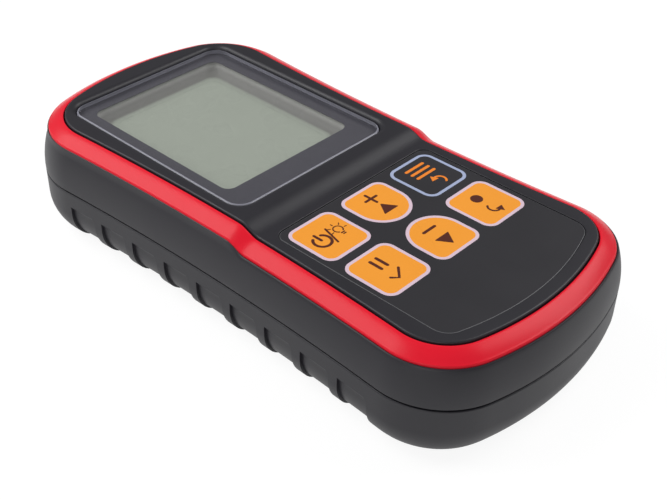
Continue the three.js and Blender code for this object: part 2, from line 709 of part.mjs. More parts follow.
function batteryCell(cell) {
  const can = plusEndY - CELL_NUB;
  const profile = [
    [0, minusEndY],
    [CELL_RADIUS - CELL_EDGE, minusEndY],
    [CELL_RADIUS, minusEndY + CELL_EDGE],
    [CELL_RADIUS, can - CELL_EDGE],
    [CELL_RADIUS - CELL_EDGE, can],
    [CELL_NUB_RADIUS, can],
    [CELL_NUB_RADIUS, plusEndY],
    [0, plusEndY],
  ].map(([r, y]) => new THREE.Vector2(r, y));
  return solidOf(inBay(new THREE.LatheGeometry(profile, 16), cell));
}

class SpringCurve extends THREE.Curve {
  getPoint(t, target = new THREE.Vector3()) {
    const angle = 2 * Math.PI * SPRING_TURNS * t;
    const radius = SPRING_RADIUS * (1 - SPRING_TAPER * t);
    const back = -bayHalfY + GAP + SPRING_WIRE;
    const front = minusEndY - GAP - SPRING_WIRE;
    return target.set(radius * Math.cos(angle), back + (front - back) * t, radius * Math.sin(angle));
  }
}

function springContact(cell) {
  const section = new THREE.Shape().absarc(0, 0, SPRING_WIRE, 0, 2 * Math.PI);
  const options = { steps: 28, curveSegments: 3, bevelEnabled: false, extrudePath: new SpringCurve() };
  return solidOf(inBay(new THREE.ExtrudeGeometry(section, options), cell));
}

function plateContact(cell) {
  const geometry = new THREE.BoxGeometry(CONTACT_SIZE, CONTACT_THICK, CONTACT_SIZE);
  return solidOf(inBay(geometry.translate(0, bayHalfY - GAP - CONTACT_THICK / 2, 0), cell));
}

function screw([x, y], headRadius, headZ, headThick, radius, tipZ) {
  const slot = block(
    [x - headRadius, y - SLOT_WIDTH / 2, headZ - CLEAR],
    [x + headRadius, y + SLOT_WIDTH / 2, headZ + SLOT_DEPTH],
  );
  const head = cut(post(headRadius, x, y, headZ, headZ + headThick, 16), slot);
  return joined(head, post(radius, x, y, headZ + headThick - MERGE, tipZ, 12));
}

const caseScrew = (place) =>
  screw(place, SCREW_HEAD_RADIUS, HEAD_SINK, SCREW_HEAD_THICK, SCREW_RADIUS, caseScrewTipZ);

function boardScrew(place) {
  const headZ = boardZ - GAP - BOARD_HEAD_THICK;
  return screw(place, BOARD_HEAD_RADIUS, headZ, BOARD_HEAD_THICK, BOARD_SCREW_RADIUS, boardScrewTipZ);
}

// ---- the assembly ----

const finish = (color, roughness, metalness = 0) => ({ color, roughness, metalness });
const FINISHES = {
  case: finish(0x3c3c40, 0.55),
  trim: finish(0xe62a3c, 0.3),
  lens: finish(0x8a9090, 0.08),
  frame: finish(0x8d8c90, 0.6),
  glass: finish(0x98a198, 0.2),
  light: finish(0xe8e8e2, 0.5),
  zebra: finish(0x6b6b70, 0.8),
  board: finish(0x1f5a33, 0.5),
  chip: finish(0x1c1c1e, 0.5),
  sheet: finish(0x3a3a3e, 0.5),
  orangeKey: finish(0xffa532, 0.45),
  darkKey: finish(0x36363a, 0.45),
  steel: finish(0xb9bbbd, 0.35, 0.9),
  socket: finish(0x202022, 0.4),
  cell: finish(0x2f4d7a, 0.35, 0.2),
};

const meter = new THREE.Group();

function addPiece(name, solid, look) {
  const mesh = new THREE.Mesh(geometryOf(solid), new THREE.MeshStandardMaterial(FINISHES[look]));
  mesh.name = name;
  meter.add(mesh);
}

addPiece("rear_case", rearCase(), "case");
addPiece("front_case", frontCase(), "case");
addPiece("trim_band", trim(), "trim");
addPiece("display_lens", lens(), "lens");
addPiece("display_frame", displayFrame(), "frame");
addPiece("display_glass", displayGlass(), "glass");
addPiece("backlight_panel", backlight(), "light");
addPiece("zebra_strip", zebraStrip(), "zebra");
addPiece("main_board", mainBoard(), "board");
addPiece("controller_chip", controllerChip(), "chip");
addPiece("keypad_sheet", keypadSheet(), "sheet");
for (const key of keys) {
  addPiece(key.name, keyCap(key), key.name === "mode_key" ? "darkKey" : "orangeKey");
  addPiece(key.name.replace("key", "switch"), keySwitch(key), "steel");
}
addPiece("sensor_socket", sensorSocket(), "socket");
addPiece("battery_door", batteryDoor(), "case");
for (const cell of cells) {
  addPiece(`cell_${cell.index}`, batteryCell(cell), "cell");
  addPiece(`spring_contact_${cell.index}`, springContact(cell), "steel");
  addPiece(`plate_contact_${cell.index}`, plateContact(cell), "steel");
}
caseScrewPlaces.forEach((place, i) => addPiece(`case_screw_${i + 1}`, caseScrew(place), "steel"));
boardScrewPlaces.forEach((place, i) => addPiece(`board_screw_${i + 1}`, boardScrew(place), "steel"));

export default meter;
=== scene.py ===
import math

import bmesh
import bpy
from mathutils import Euler, Matrix, Vector


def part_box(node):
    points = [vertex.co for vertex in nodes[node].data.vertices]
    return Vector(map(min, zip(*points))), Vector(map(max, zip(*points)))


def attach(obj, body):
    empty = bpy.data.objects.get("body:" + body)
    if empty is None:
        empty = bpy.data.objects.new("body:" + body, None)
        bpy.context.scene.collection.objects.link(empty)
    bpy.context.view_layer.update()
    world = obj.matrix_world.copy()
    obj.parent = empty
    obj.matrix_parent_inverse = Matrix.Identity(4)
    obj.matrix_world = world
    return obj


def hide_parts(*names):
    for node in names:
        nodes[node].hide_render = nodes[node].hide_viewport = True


# The looks of a handheld light meter: black case shells, a coloured trim, a display and six printed keys.

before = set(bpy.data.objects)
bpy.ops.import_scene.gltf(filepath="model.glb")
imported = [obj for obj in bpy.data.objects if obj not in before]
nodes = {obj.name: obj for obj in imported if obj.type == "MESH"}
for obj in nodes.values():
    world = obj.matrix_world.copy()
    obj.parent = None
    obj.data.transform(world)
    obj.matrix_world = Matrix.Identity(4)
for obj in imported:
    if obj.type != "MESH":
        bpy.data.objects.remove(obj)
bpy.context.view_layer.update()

MM = 0.001


# ---- camera and light ----

scene = bpy.context.scene

TURN = math.radians(47.81)
ELEVATION = math.radians(36.98)
ROLL = math.radians(1.29)
LOOK_AT = Vector((-7.5, -13.8, 15.0)) * MM
DISTANCE = 259.1 * MM
FOCAL_LENGTH = 59.85


def make_camera():
    data = bpy.data.cameras.new("camera")
    data.lens = FOCAL_LENGTH
    data.clip_start = 0.01
    camera = bpy.data.objects.new("camera", data)
    scene.collection.objects.link(camera)
    aim = Euler((math.pi / 2 - ELEVATION, 0, -TURN)).to_matrix() @ Matrix.Rotation(ROLL, 3, "Z")
    camera.matrix_world = Matrix.Translation(LOOK_AT + aim @ Vector((0, 0, DISTANCE))) @ aim.to_4x4()
    bpy.context.scene.camera = camera


def make_softbox(name, direction, distance, size, power):
    data = bpy.data.lights.new(name, "AREA")
    data.size = size
    data.energy = power
    lamp = bpy.data.objects.new(name, data)
    scene.collection.objects.link(lamp)
    towards = Vector(direction).normalized()
    lamp.location = LOOK_AT + towards * distance
    lamp.rotation_euler = towards.to_track_quat("Z", "Y").to_euler()


make_camera()
make_softbox("back_left_softbox", (-0.36, 0.60, 0.72), 0.62, 0.42, 2.3)
make_softbox("front_right_softbox", (0.66, -0.32, 0.70), 0.62, 0.36, 1.7)
make_softbox("left_fill_softbox", (-0.85, -0.35, 0.42), 0.80, 0.45, 1.2)
scene.view_settings.view_transform = "Standard"


# ---- finishes ----

class Socket:
    """An output inside a finish. Python's operators on it add maths nodes."""

    def __init__(self, finish, output):
        self.finish = finish
        self.output = output

    def maths(self, operation, *values):
        return self.finish.node("ShaderNodeMath", {"operation": operation}, dict(enumerate(values)))

    def __add__(self, other):
        return self.maths("ADD", self, other)

    def __sub__(self, other):
        return self.maths("SUBTRACT", self, other)

    def __rsub__(self, other):
        return self.maths("SUBTRACT", other, self)

    def __mul__(self, other):
        return self.maths("MULTIPLY", self, other)

    __radd__ = __add__
    __rmul__ = __mul__


class Finish:
    """A material with its nodes. What a surface is the same all over is set on the shader's own sockets."""

    def __init__(self, name, **constants):
        self.material = bpy.data.materials.new(name)
        self.material.use_nodes = True
        self.tree = self.material.node_tree
        self.shader = self.tree.nodes["Principled BSDF"]
        for socket, value in constants.items():
            self.set(socket.replace("_", " "), value)

    def node(self, kind, settings, inputs, output=0):
        node = self.tree.nodes.new(kind)
        for setting, value in settings.items():
            setattr(node, setting, value)
        for key, value in inputs.items():
            self.feed(node.inputs[key], value)
        return Socket(self, node.outputs[output])

    def feed(self, socket, value):
        if isinstance(value, Socket):
            self.tree.links.new(value.output, socket)
        else:
            socket.default_value = value

    def set(self, socket, value):
        self.feed(self.shader.inputs[socket], value)

    def place(self):
        return self.node("ShaderNodeTexCoord", {}, {}, "Object")

    def noise(self, size, detail):
        """Cloudy noise from 0 to 1 whose features are about size across."""
        inputs = {"Vector": self.place(), "Scale": 1 / size, "Detail": detail}
        return self.node("ShaderNodeTexNoise", {}, inputs)

    def blend(self, share, first, second):
        """A colour between two others."""
        return self.node("ShaderNodeMix", {"data_type": "RGBA"}, {0: share, 6: first, 7: second}, 2)

    def rise(self, value, low, high):
        """Goes smoothly from 0 to 1 while a value goes from low to high."""
        limits = {"Value": value, "From Min": low, "From Max": high}
        return self.node("ShaderNodeMapRange", {"interpolation_type": "SMOOTHSTEP"}, limits)

    def bump(self, height, depth):
        normal = self.node("ShaderNodeBump", {}, {"Height": height, "Distance": depth, "Strength": 1.0})
        self.set("Normal", normal)


def rgb(red, green, blue):
    return (red, green, blue, 1)


def scaled(colour, factor):
    return rgb(*(min(1, channel * factor) for channel in colour[:3]))


DRIFT_SIZE = 14 * MM
ROUGHNESS_SPREAD = 0.12
FINE_GRAIN = 0.22 * MM


def moulded(name, colour, roughness, grain=0.4 * MM, depth=0.006 * MM, spread=0.12, **constants):
    """Moulded plastic: fine grain in its height, slow variation in its colour and sheen."""
    finish = Finish(name, **constants)
    drift = finish.noise(DRIFT_SIZE, 3.0)
    grains = finish.noise(grain, 3.0)
    mottle = drift * 0.7 + grains * 0.3
    finish.set("Base Color", finish.blend(mottle, scaled(colour, 1 - spread), scaled(colour, 1 + spread)))
    finish.set("Roughness", drift * ROUGHNESS_SPREAD + (roughness - ROUGHNESS_SPREAD / 2))
    finish.bump(grains, depth)
    return finish.material


def printed(name, colour, depth, spread):
    """Ink or film on the keypad, with its fine even grain."""
    return moulded(name, colour, 0.42, grain=FINE_GRAIN, depth=depth, spread=spread)


DISPLAY_COLOUR = rgb(0.37, 0.405, 0.345)

case_plastic = moulded("case_plastic", rgb(0.0160, 0.0150, 0.0205), 0.45, depth=0.012 * MM)
trim_plastic = moulded(
    "trim_plastic", rgb(0.84, 0.011, 0.030), 0.30, grain=1.5 * MM,
    depth=0.0, spread=0.04, Specular_IOR_Level=0.2)
pad_film = moulded(
    "pad_film", rgb(0.0215, 0.0205, 0.0250), 0.44, grain=FINE_GRAIN, depth=0.008 * MM, spread=0.16)
orange_film = printed("orange_film", rgb(0.97, 0.36, 0.028), 0.004 * MM, 0.03)
pale_rim = printed("pale_rim", rgb(0.76, 0.58, 0.68), 0.004 * MM, 0.03)
blue_rim = printed("blue_rim", rgb(0.40, 0.46, 0.66), 0.004 * MM, 0.03)
brown_print = printed("brown_print", rgb(0.09, 0.014, 0.004), 0.003 * MM, 0.05)
orange_print = printed("orange_print", rgb(0.95, 0.26, 0.02), 0.003 * MM, 0.03)
# painted highlight: the keypad sheet's rounded edge is given a lighter grey for the light it catches
film_edge_painted_highlight = moulded("film_edge_painted_highlight", rgb(0.13, 0.13, 0.14), 0.4, grain=0.3 * MM, depth=0.002 * MM, spread=0.06)
# painted highlight: the pale colour on the lens's rounded edge stands in for the glint it catches
lens_edge_painted_glint = moulded("lens_edge_painted_glint", rgb(0.26, 0.26, 0.31), 0.3, grain=0.3 * MM, depth=0.002 * MM, spread=0.06)
border_print = moulded(
    "border_print", rgb(0.055, 0.053, 0.068), 0.5, grain=0.3 * MM, depth=0.001 * MM, spread=0.05)
display_film = moulded(
    "display_film", DISPLAY_COLOUR, 0.42, grain=0.3 * MM, depth=0.001 * MM,
    spread=0.025, Specular_IOR_Level=0.1)
diffuser = moulded("diffuser", rgb(0.78, 0.78, 0.74), 0.5, spread=0.03)
strip_rubber = moulded("strip_rubber", rgb(0.08, 0.08, 0.09), 0.7, spread=0.1)
chip_plastic = moulded("chip_plastic", rgb(0.012, 0.012, 0.013), 0.5)
solder_mask = moulded("solder_mask", rgb(0.012, 0.11, 0.035), 0.35, grain=2 * MM, spread=0.2)
cell_sleeve = moulded("cell_sleeve", rgb(0.03, 0.07, 0.16), 0.28, grain=3 * MM, depth=0.001 * MM, spread=0.08)
socket_plastic = moulded("socket_plastic", rgb(0.012, 0.012, 0.013), 0.4)


def make_steel():
    """Plated steel with fine drawn lines."""
    finish = Finish("plated_steel", Metallic=1.0)
    lines = finish.noise(0.25 * MM, 4.0)
    finish.set("Base Color", finish.blend(lines, rgb(0.50, 0.50, 0.49), rgb(0.68, 0.68, 0.66)))
    finish.set("Roughness", lines * 0.2 + 0.2)
    finish.bump(lines, 0.003 * MM)
    return finish.material


def make_frame_with_painted_shade():
    """Grey plastic with painted shade and light: near the glass it takes on the display's own tone, on the shelf it
    is painted darker as the soft shadow inside the window's edge, and up the wall it is painted lighter, as the
    wall lies in shade.
    """
    finish = Finish("frame_painted_shade")
    grains = finish.noise(0.4 * MM, 3.0)
    height = finish.node("ShaderNodeSeparateXYZ", {}, {0: finish.place()}, "Z")
    glass_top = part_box("display_glass")[1].z
    # painted shadow: the share of the darker shelf tone, from none at the glass to full a little above it
    painted_shadow_fade = finish.rise(height + grains * (0.02 * MM), glass_top + 0.04 * MM, glass_top + 0.32 * MM)
    painted_light_wall_share = finish.rise(height, glass_top + 1.2 * MM, glass_top + 2.2 * MM)
    # painted shadow colour: the shelf is painted darker than the display
    painted_shadow_shelf = finish.blend(painted_shadow_fade, DISPLAY_COLOUR, rgb(0.20, 0.20, 0.185))
    # painted light: the wall up to the lens is painted lighter than the shelf, against the shade it lies in
    finish.set("Base Color", finish.blend(painted_light_wall_share, painted_shadow_shelf, rgb(0.34, 0.34, 0.32)))
    finish.set("Roughness", grains * 0.1 + 0.5)
    finish.bump(grains, 0.003 * MM)
    return finish.material


def make_clear_lens():
    """A clear acrylic sheet: it mirrors as much as its angle asks for and lets the rest through."""
    finish = Finish("clear_lens", Base_Color=rgb(0.95, 0.95, 1.0), Metallic=1.0)
    waviness = finish.noise(9 * MM, 1.0)
    turned = finish.node("ShaderNodeLayerWeight", {}, {"Blend": 0.5}, "Facing")
    mirrored = turned.maths("POWER", turned, 4.0)
    finish.set("Alpha", mirrored * 0.6 + waviness * 0.02 + 0.02)
    finish.set("Roughness", waviness * 0.06 + 0.24)
    finish.bump(waviness, 0.004 * MM)
    return finish.material


plated_steel = make_steel()
clear_lens = make_clear_lens()
# the display frame's finish, with painted shadow on its shelf and painted light on its wall
frame_painted_shade = make_frame_with_painted_shade()


# ---- modelling helpers ----

def basic(shape, name, **settings):
    """One of Blender's basic shapes, added with nothing else selected."""
    bpy.ops.object.select_all(action="DESELECT")
    getattr(bpy.ops.mesh, f"primitive_{shape}_add")(**settings)
    piece = bpy.context.object
    piece.name = name
    return piece


def as_piece(name, mesh):
    """Puts a mesh that was built in code into the scene."""
    data = bpy.data.meshes.new(name)
    mesh.to_mesh(data)
    mesh.free()
    piece = bpy.data.objects.new(name, data)
    scene.collection.objects.link(piece)
    return piece


def pick(piece):
    bpy.ops.object.select_all(action="DESELECT")
    piece.select_set(True)
    bpy.context.view_layer.objects.active = piece


def select(piece, kind, test):
    """In edit mode, selects the vertices, edges or faces that pass the test."""
    bpy.ops.mesh.select_mode(type=kind)
    bpy.ops.mesh.select_all(action="DESELECT")
    mesh = bmesh.from_edit_mesh(piece.data)
    elements = {"VERT": mesh.verts, "EDGE": mesh.edges, "FACE": mesh.faces}[kind]
    for element in elements:
        if test(element):
            element.select_set(True)
    mesh.select_flush_mode()
    bmesh.update_edit_mesh(piece.data)


def edit(piece):
    pick(piece)
    bpy.ops.object.mode_set(mode="EDIT")


def leave():
    bpy.ops.object.mode_set(mode="OBJECT")


def modify(piece, kind, **settings):
    pick(piece)
    modifier = piece.modifiers.new(kind, kind)
    for setting, value in settings.items():
        setattr(modifier, setting, value)
    bpy.ops.object.modifier_apply(modifier=modifier.name)


def carve(piece, *tools, operation="DIFFERENCE"):
    for tool in tools:
        modify(piece, "BOOLEAN", object=tool, operation=operation, solver="EXACT")
        bpy.data.objects.remove(tool, do_unlink=True)
    return piece


def unite(piece, *others):
    return carve(piece, *others, operation="UNION")


def fuse(pieces):
    """Separate pieces made one mesh."""
    bpy.ops.object.select_all(action="DESELECT")
    for piece in pieces:
        piece.select_set(True)
    bpy.context.view_layer.objects.active = pieces[0]
    bpy.ops.object.join()
    return bpy.context.object


def settle(piece):
    pick(piece)
    bpy.ops.object.transform_apply(location=True, rotation=True, scale=True)


def thicken(piece, height):
    """Makes a flat piece a solid that reaches upwards by a height."""
    edit(piece)
    bpy.ops.mesh.select_all(action="SELECT")
    bpy.ops.mesh.extrude_region_move(TRANSFORM_OT_translate={"value": (0, 0, height)})
    bpy.ops.mesh.select_all(action="SELECT")
    bpy.ops.mesh.normals_make_consistent(inside=False)
    leave()
    return piece


def plate(name, centre, half, radii, low, high, segments=12):
    """A flat plate with one corner radius on its side towards -Y and another towards +Y."""
    piece = basic("plane", name, size=2, location=(centre[0], centre[1], low))
    piece.scale = (half[0], half[1], 1)
    settle(piece)
    edit(piece)
    for side, radius in zip((-1, 1), radii):
        select(piece, "VERT", lambda v: (v.co.y - centre[1]) * side > half[1] * 0.9)
        bpy.ops.mesh.bevel(offset=radius, segments=segments, affect="VERTICES")
    bpy.ops.mesh.remove_doubles(threshold=0.002 * MM)
    leave()
    return thicken(piece, high - low)


def flare(piece, profile):
    """Builds a plate upwards through (growth, height) points, so that its recess has a shaped rim."""
    low_corner, high_corner = corners(piece)
    centre = (low_corner + high_corner) / 2
    half = (high_corner - low_corner) / 2
    edit(piece)
    select(piece, "FACE", lambda f: f.normal.z > 0.9)
    grown, height = 0.0, high_corner.z
    for growth, z in profile:
        bpy.ops.mesh.extrude_region_move(TRANSFORM_OT_translate={"value": (0, 0, z - height)})
        grow = [(half[axis] + growth) / (half[axis] + grown) for axis in (0, 1)]
        bpy.ops.transform.resize(value=(grow[0], grow[1], 1), center_override=(centre.x, centre.y, z))
        grown, height = growth, z
    leave()
    return piece


def soften(piece, z, width, segments=3):
    """Rounds all edges that lie at one height."""
    edit(piece)
    select(piece, "EDGE", lambda e: all(abs(v.co.z - z) < 0.001 * MM for v in e.verts))
    bpy.ops.mesh.bevel(offset=width, segments=segments, affect="EDGES")
    leave()
    return piece


def footprint(low, high, grow=0.0):
    """Middle and half size of a box seen from above."""
    middle = ((low.x + high.x) / 2, (low.y + high.y) / 2)
    return middle, ((high.x - low.x) / 2 + grow, (high.y - low.y) / 2 + grow)


def corners(piece):
    points = [vertex.co for vertex in piece.data.vertices]
    low = Vector([min(point[axis] for point in points) for axis in range(3)])
    high = Vector([max(point[axis] for point in points) for axis in range(3)])
    return low, high


def prism(name, outline, low, high):
    """A straight-sided solid over a flat outline."""
    mesh = bmesh.new()
    face = mesh.faces.new([mesh.verts.new((point[0], point[1], low)) for point in outline])
    top = bmesh.ops.extrude_face_region(mesh, geom=[face])["geom"]
    moved = [v for v in top if isinstance(v, bmesh.types.BMVert)]
    bmesh.ops.translate(mesh, vec=(0, 0, high - low), verts=moved)
    bmesh.ops.recalc_face_normals(mesh, faces=mesh.faces)
    return as_piece(name, mesh)


def block(name, low, high):
    low, high = Vector(low), Vector(high)
    piece = basic("cube", name, size=1, location=(low + high) / 2)
    piece.scale = high - low
    settle(piece)
    return piece


def rod(name, radius, start, stop, sides=48):
    """A round bar between two points that differ along one axis."""
    start, stop = Vector(start), Vector(stop)
    along = stop - start
    piece = basic("cylinder", name, vertices=sides, radius=radius, depth=along.length)
    piece.rotation_euler = along.to_track_quat("Z", "Y").to_euler()
    piece.location = (start + stop) / 2
    settle(piece)
    return piece


def dress(piece, body, slot, *materials, replaces=(), angle=32):
    """Gives a finished piece its shading, finish and body; its slot is not used."""
    pick(piece)
    bpy.ops.object.shade_smooth_by_angle(angle=math.radians(angle))
    for material in materials:
        piece.data.materials.append(material)
    modify(piece, "WEIGHTED_NORMAL", keep_sharp=True, weight=60)
    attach(piece, body)
    if replaces:
        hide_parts(*replaces)
    return piece


# ---- floor and surroundings ----

FLOOR_GLOW = 1.12
FLOOR_WHITENESS = 0.8
FLOOR_IN_GLOSS = 0.65
WORLD_LIGHT = 0.24


def make_floor():
    """A pale floor. Seen by the camera it is close to white and keeps the shadow; from below it is clear."""
    floor = basic("plane", "floor", size=0.9, location=(0, 0, -0.05 * MM))
    finish = Finish("floor_paint", Base_Color=rgb(0.82, 0.82, 0.82), Roughness=0.9)
    finish.set("Specular IOR Level", 0.0)
    tree = finish.tree
    rays = tree.nodes.new("ShaderNodeLightPath")
    glossy = Socket(finish, rays.outputs["Is Glossy Ray"])
    glow = finish.node("ShaderNodeEmission", {}, {"Color": rgb(1, 1, 1), "Strength": FLOOR_GLOW})
    seen = finish.node(
        "ShaderNodeMath", {"operation": "MAXIMUM"},
        {0: Socket(finish, rays.outputs["Is Camera Ray"]), 1: glossy * FLOOR_IN_GLOSS})
    paint = Socket(finish, finish.shader.outputs[0])
    surface = finish.node("ShaderNodeMixShader", {}, {0: seen * FLOOR_WHITENESS, 1: paint, 2: glow})
    below = finish.node("ShaderNodeNewGeometry", {}, {}, "Backfacing")
    clear = finish.node("ShaderNodeBsdfTransparent", {}, {})
    whole = finish.node("ShaderNodeMixShader", {}, {0: below, 1: surface, 2: clear})
    finish.feed(tree.nodes["Material Output"].inputs["Surface"], whole)
    floor.data.materials.append(finish.material)


def make_world():
    """Even pale surroundings, dim as a light and white where the camera sees them."""
    world = bpy.data.worlds.new("studio")
    world.use_nodes = True
    scene.world = world
    tree = world.node_tree
    rays = tree.nodes.new("ShaderNodeLightPath")
    strength = tree.nodes.new("ShaderNodeMix")
    strength.inputs[2].default_value = WORLD_LIGHT
    strength.inputs[3].default_value = 1.0
    tree.links.new(rays.outputs["Is Camera Ray"], strength.inputs[0])
    tree.links.new(strength.outputs[0], tree.nodes["Background"].inputs["Strength"])
    tree.nodes["Background"].inputs["Color"].default_value = rgb(1, 1, 1)


make_floor()
make_world()


# ---- the case outline ----

END_REACH = 72.4 * MM
WAIST_HALF = 32.8 * MM
WAIST_Y = -6 * MM
SIDE_RADIUS = 760 * MM
TOP_END_RADIUS = 75.5 * MM
TOP_CORNER = 18.9 * MM
BOTTOM_END_RADIUS = 77.5 * MM
BOTTOM_CORNER = 16.5 * MM
BULGE = 2.1 * MM
STEP_Y = -8 * MM
STEP_LENGTH = 6 * MM
STEP_DROP = 1.7 * MM

side_centre = Vector((WAIST_HALF + SIDE_RADIUS, WAIST_Y))


def corner_centre(end, end_radius, corner, up):
    """Centre of the corner arc that touches an end arc from inside and the hollow side arc from outside."""
    towards = side_centre - end
    distance = towards.length
    inner = end_radius - corner
    outer = SIDE_RADIUS + corner
    along = (inner**2 - outer**2 + distance**2) / (2 * distance)
    across = math.sqrt(inner**2 - along**2) * (1 if up else -1)
    towards.normalize()
    return end + towards * along + Vector((-towards.y, towards.x)) * across


def bearing(centre, point):
    return math.atan2(point.y - centre.y, point.x - centre.x)


def arc(centre, radius, start, stop, count):
    """Points on an arc with their outward directions; the last point is left to the next stretch."""
    stations = []
    for step in range(count):
        angle = start + (stop - start) * step / count
        out = Vector((math.cos(angle), math.sin(angle)))
        stations.append((centre + out * radius, out))
    return stations


def side_stretch(start, stop, count):
    stations = []
    for step in range(count):
        y = start + (stop - start) * step / count
        point = Vector((side_centre.x - math.sqrt(SIDE_RADIUS**2 - (y - WAIST_Y) ** 2), y))
        stations.append((point, (side_centre - point).normalized()))
    return stations


def outline_stations():
    """Points of the case outline with outward directions, from the display end round by +X."""
    top_end = Vector((0, END_REACH - TOP_END_RADIUS))
    bottom_end = Vector((0, BOTTOM_END_RADIUS - END_REACH))
    top_corner = corner_centre(top_end, TOP_END_RADIUS, TOP_CORNER, True)
    bottom_corner = corner_centre(bottom_end, BOTTOM_END_RADIUS, BOTTOM_CORNER, False)
    top_turn, top_touch = bearing(top_end, top_corner), bearing(top_corner, side_centre)
    bottom_turn, bottom_touch = bearing(bottom_end, bottom_corner), bearing(bottom_corner, side_centre)
    top_y = top_corner.y + TOP_CORNER * math.sin(top_touch)
    bottom_y = bottom_corner.y + BOTTOM_CORNER * math.sin(bottom_touch)
    step_top, step_bottom = STEP_Y + STEP_LENGTH / 2, STEP_Y - STEP_LENGTH / 2
    half = [
        *arc(top_end, TOP_END_RADIUS, math.pi / 2, top_turn, 24),
        *arc(top_corner, TOP_CORNER, top_turn, top_touch, 26),
        *side_stretch(top_y, step_top, 32),
        *side_stretch(step_top, step_bottom, 16),
        *side_stretch(step_bottom, bottom_y, 28),
        *arc(bottom_corner, BOTTOM_CORNER, bottom_touch, bottom_turn, 26),
        *arc(bottom_end, BOTTOM_END_RADIUS, bottom_turn, -math.pi / 2, 24),
        (Vector((0, -END_REACH)), Vector((0, -1))),
    ]
    mirrored = [(Vector((-p.x, p.y)), Vector((-out.x, out.y))) for p, out in reversed(half[1:-1])]
    return half + mirrored


stations = outline_stations()


def step_at(y):
    """How far the keypad half of the face lies below the display half, as a smooth step."""
    share = min(1, max(0, (STEP_Y + STEP_LENGTH / 2 - y) / STEP_LENGTH))
    return -STEP_DROP * (1 - math.cos(math.pi * share)) / 2


def level(outset, height, stepped=False):
    return lambda y: (outset, height + (step_at(y) if stepped else 0))


def quarter(start, stop, steps, outwards_first):
    """Levels along a quarter round between two (outset, height) points, the first point left out."""
    levels = []
    for step in range(1, steps + 1):
        angle = math.pi / 2 * step / steps
        early, late = math.sin(angle), 1 - math.cos(angle)
        across, up = (early, late) if outwards_first else (late, early)
        levels.append((start[0] + (stop[0] - start[0]) * across, start[1] + (stop[1] - start[1]) * up))
    return levels


def loft(name, levels, closed=False):
    """A solid through loops around the case. An open stack is capped by strips across the case."""
    mesh = bmesh.new()
    loops = []
    for one in levels:
        loop = []
        for point, out in stations:
            outset, height = one(point.y)
            loop.append(mesh.verts.new((point.x + out.x * outset, point.y + out.y * outset, height)))
        loops.append(loop)
    count = len(stations)
    following = loops[1:] + (loops[:1] if closed else [])
    for lower, upper in zip(loops, following):
        for i in range(count):
            j = (i + 1) % count
            mesh.faces.new((lower[i], lower[j], upper[j], upper[i]))
    if not closed:
        for loop in (loops[0], loops[-1]):
            for i in range(count // 2):
                corner_list = [loop[i], loop[i + 1], loop[(-i - 1) % count], loop[-i % count]]
                mesh.faces.new(list(dict.fromkeys(corner_list)))
    bmesh.ops.recalc_face_normals(mesh, faces=mesh.faces)
    return as_piece(name, mesh)


# ---- places taken from the construction model ----

front_low, front_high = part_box("front_case")
lens_low, lens_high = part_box("display_lens")
sheet_low, sheet_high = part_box("keypad_sheet")
door_low, door_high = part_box("battery_door")
trim_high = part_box("trim_band")[1]

PARTING_GAP = 0.4 * MM
WALL = 2.2 * MM
BULGE_TOP = 16.5 * MM
BULGE_FADE = 10 * MM
LEAST_OUTSET = 0.3 * MM
EDGE = 0.3 * MM
TRIM_WIDTH = 4 * MM
TRIM_FALL = 2.3 * MM
TRIM_THICK = 1.5 * MM
FIT = 0.3 * MM
CEILING = 25.6 * MM
LIP = 1.2 * MM
FLOOR = 2 * MM
ROUNDING_WIDTH = 8 * MM
ROUNDING_HEIGHT = 9 * MM

FACE_INSET = 6.4 * MM
FACE_EDGE = 0.45 * MM
CHANNEL_GAP = 0.35 * MM
REBATE_HEIGHT = 2 * MM
TOP_EDGE = 0.2 * MM
TRIM_GAP = 0.08 * MM
LENS_GAP = 0.15 * MM
LENS_CORNER = 4.5 * MM
LENS_RIM = 1.5 * MM
BORDER_THICK = 0.12 * MM
WINDOW_HALF = (20.6 * MM, 25.2 * MM)
WINDOW_OFFSET = 2.5 * MM
WINDOW_CORNER = 2.5 * MM
VIEW_HALF = (16.9 * MM, 21.6 * MM)
VIEW_CORNER = 2.6 * MM
SHELF = 4 * MM
KEY_CORNER = 2.8 * MM
KEY_FLANGE = 0.6 * MM
KEY_GAP = 0.06 * MM
RIM_WIDTH = 0.75 * MM
PRINT = 0.03 * MM
PAD_TOP_CORNER = 2.5 * MM
PAD_BOTTOM_CORNER = 4.5 * MM
PAD_FROM_END = 7.8 * MM
PAD_EDGE = 0.16 * MM
SHEET_GROWTH = 0.18 * MM
BAY_LEDGE = 2.5 * MM
BAY_WALL = 1.5 * MM
DOOR_RIM = 1.4 * MM
DOOR_CORNER = 2 * MM
POST_RADIUS = 3.4 * MM
SHANK_RADIUS = 1.6 * MM
HEAD_DEPTH = 2.1 * MM
KEYS = ["power_key", "up_key", "mode_key", "hold_key", "down_key", "record_key"]
DARK_KEY = "mode_key"

face_z = front_high.z
keypad_z = face_z - STEP_DROP
parting_z = front_low.z
wall_top = trim_high.z - TRIM_FALL - TOP_EDGE
rebate = BULGE - 1.5 * MM


def wall_outset(z):
    share = max(0, z - BULGE_TOP) / BULGE_FADE
    return max(LEAST_OUTSET, BULGE * (1 - share * share))


def wall_level(share):
    """A level of the side wall: share of the way from its lower edge to its stepped top."""
    def at(y):
        low, top = parting_z + EDGE, wall_top + step_at(y) - EDGE
        z = low + (top - low) * share
        return wall_outset(z), z
    return at


def lead_mouth():
    """The round opening for the lead socket, half in each shell."""
    low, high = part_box("sensor_socket")
    z = parting_z - PARTING_GAP / 2
    return rod("mouth", (high.z - low.z) / 2 + FIT, (0, 55 * MM, z), (0, 80 * MM, z))


